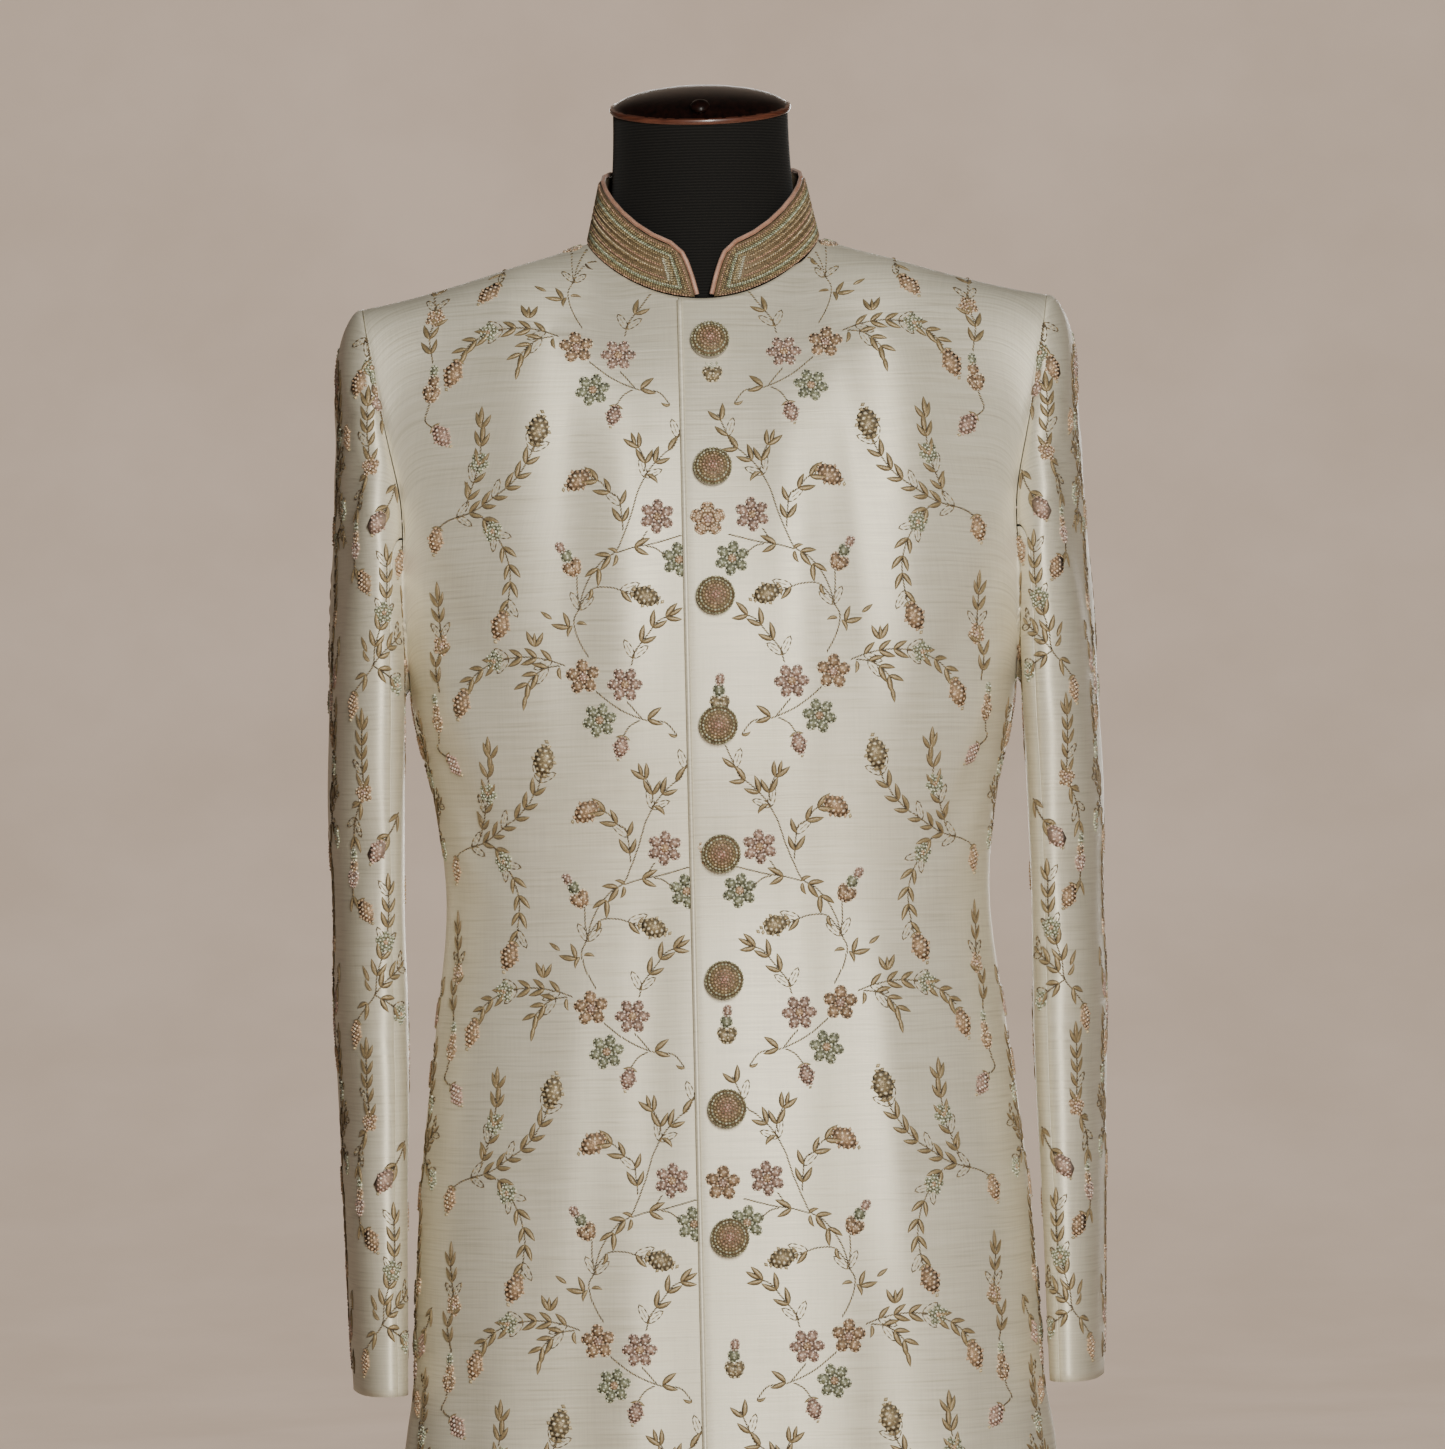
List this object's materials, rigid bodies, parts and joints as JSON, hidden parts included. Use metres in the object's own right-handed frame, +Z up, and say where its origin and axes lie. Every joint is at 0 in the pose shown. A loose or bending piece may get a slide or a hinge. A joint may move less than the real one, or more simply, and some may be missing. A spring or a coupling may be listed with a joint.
{
  "type": "sherwani coat on dress form",
  "caption": "Long raw-silk coat with a stand collar, domed buttons and vine embroidery, resting on a limbless dress form with a stand.",
  "frame": {"origin": "floor level, at the middle of the part's footprint", "axes": "+Z up, the coat faces -Y, and the wearer's left is at +X"},
  "size_m": [0.51, 0.37, 1.5744],
  "materials": {
    "silk": "ivory raw silk with weft slubs",
    "collar_embroidery": "couched beads and gold thread",
    "piping": "pink-peach satin cord",
    "button_embroidery": "coiled bead and thread work over silk",
    "embroidery_gold": "bronze-gold thread and beads",
    "jersey": "fine-ribbed black jersey",
    "polished_wood": "polished dark mahogany",
    "stand_metal": "satin black paint"
  },
  "bodies": {
    "root": {"front_left": "silk", "front_right": "silk", "back_left": "silk", "back_right": "silk", "sleeve_top_left": "silk", "sleeve_under_left": "silk", "sleeve_top_right": "silk", "sleeve_under_right": "silk", "collar": "collar_embroidery", "collar_piping": "piping", "button_1": "button_embroidery", "button_2": "button_embroidery", "button_3": "button_embroidery", "button_4": "button_embroidery", "button_5": "button_embroidery", "button_6": "button_embroidery", "button_7": "button_embroidery", "button_8": "button_embroidery", "form_torso": "jersey", "form_neck_cap": "polished_wood", "form_knob": "polished_wood", "form_pole": "stand_metal", "form_base": "stand_metal"}
  },
  "joints": []
}
